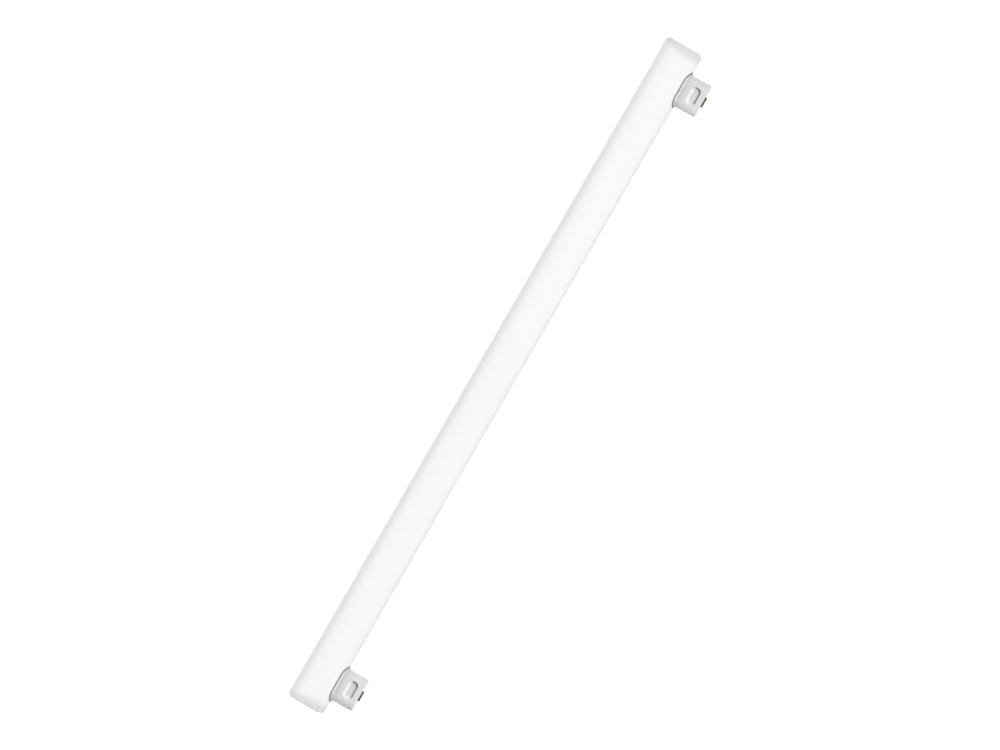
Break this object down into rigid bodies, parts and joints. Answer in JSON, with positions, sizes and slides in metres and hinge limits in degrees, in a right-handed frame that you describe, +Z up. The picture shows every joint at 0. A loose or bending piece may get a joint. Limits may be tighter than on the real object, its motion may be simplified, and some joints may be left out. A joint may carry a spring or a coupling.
{
  "type": "linear led tube lamp",
  "caption": "Straight opal LED tube lamp, closed at both ends, with a moulded side cap near each end that pushes into a lampholder and makes contact through a brass plate.",
  "frame": {"origin": "under the middle of the tube's length, on the plane of the two contact faces", "axes": "+X along the tube, towards the end that reaches further past its cap; +Z up, from the contacts to the tube; +Y across"},
  "size_m": [0.5, 0.0264, 0.0429],
  "materials": {
    "opal_tube": "opal, satin",
    "cap_plastic": "fine matt mould texture",
    "contact_brass": "bare sheet, slightly dulled",
    "white_board": "white solder mask",
    "led_housing": "smooth",
    "phosphor": "soft silicone",
    "driver_board": "green solder mask",
    "sleeve": "thin insulating film",
    "resistor_body": "lacquer",
    "varistor_lacquer": "dipped lacquer",
    "film_box": "moulded box",
    "chip_black": "moulded resin",
    "ferrite": "dark sintered core",
    "capacitor_can": "bare can",
    "chip_resistor": "glazed",
    "lead_brown": "insulation",
    "lead_blue": "insulation",
    "lead_red": "insulation",
    "lead_black": "insulation"
  },
  "bodies": {
    "root": {"diffuser_tube": "opal_tube", "end_cap_left": "opal_tube", "end_cap_right": "opal_tube", "lamp_cap_left": "cap_plastic", "lamp_cap_right": "cap_plastic", "contact_left": "contact_brass", "contact_right": "contact_brass", "led_board": "white_board", "led_packages": "led_housing", "led_phosphor": "phosphor", "driver_board": "driver_board", "driver_sleeve": "sleeve", "fusible_resistor": "resistor_body", "surge_varistor": "varistor_lacquer", "film_capacitor": "film_box", "bridge_rectifier": "chip_black", "filter_choke": "ferrite", "smoothing_capacitor": "capacitor_can", "driver_chip": "chip_black", "chip_resistors": "chip_resistor", "line_lead": "lead_brown", "neutral_lead": "lead_blue", "neutral_link": "lead_blue", "led_lead_plus": "lead_red", "led_lead_minus": "lead_black"}
  },
  "joints": []
}
